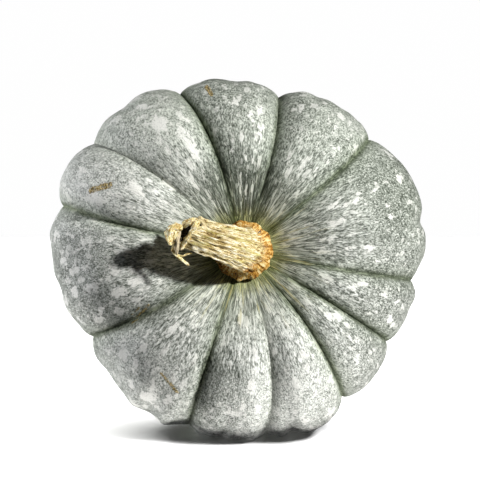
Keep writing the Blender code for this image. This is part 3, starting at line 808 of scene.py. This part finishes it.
def skin_material():
    g = Graph("speckled_rind")
    grain, own = g.attribute("grain"), g.attribute("own")
    wide, to_groove, slope = g.split(g.attribute("zones"))
    scar = g.split(g.attribute("ends"))[0]
    east, north, _ = g.split(own)

    drawn = drawn_out(g, grain, own, wide)
    fine = g.noise(drawn, 3.0, 0.72)
    worms = g.worms(g.stretch(drawn, (0.70,) * 3), 0.09, 0.5)
    flecks = g.noise(g.stretch(drawn, (0.45, 0.45, 0.40)), 3.0, 0.62, 0.6)
    medium = g.noise(g.stretch(own, (1 / 6.5,) * 3), 3.0, 0.55)
    broad = g.noise(g.stretch(own, (1 / 34,) * 3), 2.0, 0.5)
    tone = g.weighted(
        (fine, 0.5, 2.5), (flecks, 0.5, 0.75), (worms, 0.7, 0.36), (medium, 0.5, 0.32), (broad, 0.5, 0.4)
    )
    # Painted light: some sides paler and others darker, and the skin paler away from the stem's basin, for how
    # the light falls.
    tone = paint_light_by_side(g, tone, wide, east, north)
    tone = g.add(tone, g.times(g.rise(wide, 40, 58), 0.06))
    colour = g.ramp(g.add(tone, 0.44), SKIN_COLOURS)

    blotches = pale_blotches(g, grain, to_groove, east)
    shown = g.times(blotches, g.rise(fine, 0.26, 0.50, 0.50, 0.95))
    colour = g.mix(shown, colour, (0.78, 0.775, 0.74))

    # The upper lobes are a darker green between their marks.
    upper = g.rise(g.add(north, g.times(east, 0.35)), 5, 75)
    upper = g.times(upper, g.math("SUBTRACT", 1.0, g.times(blotches, 0.8)))
    colour = g.mix(g.times(upper, 0.55), colour, (0.64, 0.69, 0.61), "MULTIPLY")

    # Long pale dashes that run out from the stem over a darker, greener ground.
    near_stem = g.rise(wide, 62, 30)
    dashes = g.noise(g.stretch(grain, (0.62, 0.62, 0.055)), 4.0, 0.68)
    dashes = g.times(g.rise(dashes, 0.55, 0.66), near_stem)
    colour = g.mix(g.times(near_stem, 0.50), colour, (0.66, 0.70, 0.60), "MULTIPLY")
    colour = g.mix(g.times(dashes, 0.70), colour, (0.70, 0.71, 0.65))

    # The grooves: partly their own green, partly painted shade.
    colour, fold = grooves_greener_and_shaded(g, colour, to_groove, slope, medium)
    colour = yellow_round_stem(g, colour, grain, wide, flecks, east, north)
    scabs = scabs_on(g, own, fine)
    crust = g.ramp(g.noise(g.stretch(own, (1.1,) * 3), 3.0, 0.7), CRUST_COLOURS)
    colour = g.mix(scabs, colour, crust)

    # Corky scar at the blossom end.
    blossom = g.rise(g.add(scar, g.times(g.add(fine, -0.5), 1.2)), 0.3, 0.6)
    colour = g.mix(blossom, colour, g.mix(fine, (0.20, 0.14, 0.07), (0.66, 0.54, 0.34)))

    rough = g.add(g.rise(fine, 0.3, 0.7, 0.32, 0.48), g.times(fold, 0.15))
    height = g.weighted(
        (fine, 0.0, 0.5), (flecks, 0.0, 0.35), (worms, 0.0, 0.18), (scabs, 0.0, 0.9), (dashes, 0.0, 0.25)
    )
    g.plug(g.shader.inputs["Base Color"], colour)
    g.plug(g.shader.inputs["Roughness"], g.add(rough, g.times(scabs, 0.3)))
    g.shader.inputs["Specular IOR Level"].default_value = 0.5
    g.plug(g.shader.inputs["Normal"], g.bump(height, 0.0006, 0.55))
    return g.material


def bark_material(torn=False):
    """The corky stem, or with torn the paler, cleaner inside of the bark where it was ripped."""
    g = Graph("torn_bark" if torn else "corky_bark")
    grain = g.attribute("grain")
    share, inside, ridge = g.split(g.attribute("zones"))
    to_edge, warty, _ = g.split(g.attribute("ends"))
    strands = g.noise(g.stretch(grain, (1.1, 1.1, 0.19)), 4.0, 0.68, 0.6)
    fine = g.noise(g.stretch(grain, (2.4, 2.4, 0.50)), 3.0, 0.7)
    pith = g.noise(g.stretch(grain, (0.9,) * 3), 4.0, 0.7, 0.5)
    tone = g.weighted((strands, 0.5, 2.4), (fine, 0.5, 1.9), (ridge, 0.0, 0.34), (pith, 0.5, 1.0))
    neck = g.ramp(g.add(tone, 0.60), TORN_COLOURS if torn else BARK_COLOURS)
    if torn:
        # A strand has no hollow, so this value says how grey it is.
        rusty = g.rise(g.noise(g.stretch(grain, (1.0, 1.0, 0.6)), 3.0, 0.6), 0.50, 0.60)
        neck = g.mix(g.times(rusty, 0.75), neck, (0.46, 0.25, 0.06))
        neck = g.mix(g.rise(inside, 0.01, 0.04), neck, g.mix(fine, (0.16, 0.10, 0.04), (0.93, 0.82, 0.57)))
    else:
        olive = g.rise(g.noise(g.stretch(grain, (0.42, 0.42, 0.05)), 3.0, 0.6), 0.50, 0.60)
        neck = g.mix(g.times(olive, 0.75), neck, (0.62, 0.60, 0.26), "MULTIPLY")
        greyed = g.rise(g.noise(g.stretch(grain, (0.14, 0.14, 0.07)), 2.0, 0.5), 0.48, 0.62)
        neck = g.mix(g.times(greyed, 0.25), neck, (0.36, 0.30, 0.20))

    # The rusty foot, which reaches a little higher on its lower side.
    crumbs = g.noise(g.stretch(grain, (1.5,) * 3), 4.0, 0.75, 0.4)
    rays = g.noise(g.stretch(grain, (1.3, 1.3, 0.12)), 2.0, 0.6)
    foot = g.weighted((crumbs, 0.5, 3.2), (rays, 0.5, 1.6), (warty, 0.0, 0.40))
    foot = g.ramp(g.add(foot, 0.49), FOOT_COLOURS)
    lower = g.times(g.math("MINIMUM", g.split(grain)[1], 0.0), 0.008)
    at_foot = g.rise(g.add(g.add(share, lower), g.times(g.add(pith, -0.5), 0.34)), 0.25, 0.11)
    colour = g.mix(at_foot, neck, foot)

    lip = g.rise(to_edge, 3.2, 0.6)
    colour = g.mix(g.times(lip, 0.5), colour, (0.72, 0.61, 0.36))
    if not torn:
        # Painted shade in the hollow end, over its dark brown inside.
        hollow = g.ramp(g.add(g.times(g.add(pith, -0.5), 2.2), 0.40), HOLLOW_SHADE_COLOURS)
        colour = g.mix(g.rise(inside, 0.02, 0.16), colour, hollow)

    crumbs = g.times(crumbs, at_foot)
    height = g.weighted((strands, 0.0, 0.6), (fine, 0.0, 0.5), (pith, 0.0, 0.7), (crumbs, 0.0, 0.6))
    g.plug(g.shader.inputs["Base Color"], colour)
    g.plug(g.shader.inputs["Roughness"], g.rise(fine, 0.3, 0.7, 0.62, 0.85))
    g.shader.inputs["Specular IOR Level"].default_value = 0.3
    g.plug(g.shader.inputs["Normal"], g.bump(height, 0.0012, 0.9))
    return g.material


def stage_plate(name, corners, height, look):
    """A flat plate that neither lights the pumpkin nor shows in its gloss."""
    mesh = bpy.data.meshes.new(name)
    mesh.from_pydata([(x, y, height) for x, y in corners], [], [tuple(range(len(corners)))])
    mesh.materials.append(look)
    plate = bpy.data.objects.new(name, mesh)
    bpy.context.scene.collection.objects.link(plate)
    plate.visible_diffuse = False
    plate.visible_glossy = False
    return plate


def make_floor():
    """A white floor that the light from below shines through, and a plate that shades the contact."""
    g = Graph("studio_floor")
    g.shader.inputs["Base Color"].default_value = (0.88, 0.88, 0.88, 1)
    g.shader.inputs["Roughness"].default_value = 0.9
    g.shader.inputs["Specular IOR Level"].default_value = 0.1
    floor = stage_plate("studio_floor", ((-1.6, -0.9), (1.6, -0.9), (1.6, 1.3), (-1.6, 1.3)), 0, g.material)
    floor.visible_shadow = False
    turns = [k * math.pi / 12 for k in range(24)]
    oval = [(0.01 + 0.075 * math.cos(t), 0.015 + 0.055 * math.sin(t)) for t in turns]
    under = stage_plate("contact_shade", oval, -0.003, g.material)
    under.visible_camera = False
    return floor


KEY_FROM, KEY_DISTANCE = (0.630, -0.665, 0.402), 1.8


def make_light(name, towards, distance, size, power, colour=(1, 1, 1), at=(0, 0, 0.11), spread=180):
    """An area light that shines on a point from a direction."""
    data = bpy.data.lights.new(name, "AREA")
    data.shape = "RECTANGLE"
    data.size, data.size_y = size
    data.energy = power
    data.color = colour
    data.spread = math.radians(spread)
    light = bpy.data.objects.new(name, data)
    direction = Vector(towards).normalized()
    light.location = Vector(at) + direction * distance
    light.rotation_euler = direction.to_track_quat("Z", "Y").to_euler()
    light.visible_camera = False
    light.visible_glossy = False
    bpy.context.scene.collection.objects.link(light)
    return light


def make_sheen(towards, distance, size, power):
    """The key light's gloss, from a light of its own, so that it stays weak at the rims seen from behind."""
    light = make_light("key_sheen", towards, distance, size, power)
    light.visible_glossy = True
    light.visible_diffuse = False
    return light


def shine_only_on(lights, name, pieces):
    group = bpy.data.collections.new(name)
    for piece in pieces:
        group.objects.link(piece)
    for light in lights:
        light.light_linking.receiver_collection = group


def make_lights(pumpkin, floor):
    """Directions are to the right, towards the back and up. The floor's own lights give it a short shadow."""
    shine_only_on((
        make_light("key", KEY_FROM, KEY_DISTANCE, (0.12, 0.12), 57, (0.995, 0.993, 0.972)),
        make_sheen(KEY_FROM, KEY_DISTANCE, (0.25, 0.25), 7),
        make_light("side", (0.92, -0.10, 0.38), 1.5, (0.9, 0.8), 0.5, (0.93, 0.97, 1.0)),
        make_light("left_rim", (-0.92, 0.30, 0.12), 1.5, (0.9, 1.1), 37, (0.97, 0.98, 1.0)),
        make_light("top", (0.05, 0.25, 1.0), 1.5, (1.0, 0.7), 0.8, (0.96, 0.98, 1.0)),
        make_light("bounce", (0.12, 0.2, -1.0), 1.0, (2.4, 0.4), 36, (1.0, 0.99, 0.97)),
    ), "pumpkin_lit", pumpkin)
    shine_only_on((
        make_light("floor_wash", (0, 0, 1), 1.3, (3.2, 2.6), 80, at=(0.2, -0.3, 0), spread=120),
        make_light("floor_key", (0.85, -1.25, 1.15), 1.6, (0.4, 0.4), 70, at=(0, 0.05, 0)),
    ), "floor_lit", (floor,))


def make_world():
    """A faint surround that lights the scene, and a white backdrop that only the camera sees."""
    world = bpy.data.worlds.new("studio")
    world.use_nodes = True
    nodes, links = world.node_tree.nodes, world.node_tree.links
    surround = nodes["Background"]
    surround.inputs["Color"].default_value = (0.93, 0.96, 1.0, 1)
    surround.inputs["Strength"].default_value = 0.03
    backdrop = nodes.new("ShaderNodeBackground")
    backdrop.inputs["Color"].default_value = (0.995, 0.995, 0.995, 1)
    ray = nodes.new("ShaderNodeLightPath")
    either = nodes.new("ShaderNodeMixShader")
    links.new(ray.outputs["Is Camera Ray"], either.inputs[0])
    links.new(surround.outputs[0], either.inputs[1])
    links.new(backdrop.outputs[0], either.inputs[2])
    links.new(either.outputs[0], nodes["World Output"].inputs["Surface"])
    bpy.context.scene.world = world


# The photograph's view, from the stem's side. What the camera aims at is this far to the right of the fruit's
# middle and above it, in metres, which leaves the fruit a little left of the frame's middle and below it.
VIEW_ELEVATION, VIEW_DISTANCE = 6, 1.3
SENSOR_WIDTH, LENS = 36, 157.8
AIM_RIGHT, AIM_UP = 0.00124, 0.01236


def make_camera():
    data = bpy.data.cameras.new("photo_view")
    data.sensor_width = SENSOR_WIDTH
    data.lens = LENS
    data.dof.use_dof = False
    camera = bpy.data.objects.new("photo_view", data)
    centre = Vector(ORIGIN) / 1000
    rise = math.radians(VIEW_ELEVATION)
    away = Vector((0, -math.cos(rise), math.sin(rise)))
    above = Vector((0, math.sin(rise), math.cos(rise)))
    camera.location = centre + away * VIEW_DISTANCE
    aim = centre + Vector((1, 0, 0)) * AIM_RIGHT + above * AIM_UP
    camera.rotation_euler = (camera.location - aim).to_track_quat("Z", "Y").to_euler()
    bpy.context.scene.collection.objects.link(camera)
    bpy.context.scene.camera = camera


bpy.context.scene.view_settings.view_transform = "Standard"
make_camera()
pieces = [make_fruit(skin_material()), make_stem(bark_material())]
torn = bark_material(torn=True)
for number, strand in enumerate(STRANDS):
    pieces.append(make_strand(*strand, FIRST_STRAND_SEED + 2 * number, torn))
make_lights(pieces, make_floor())
make_world()
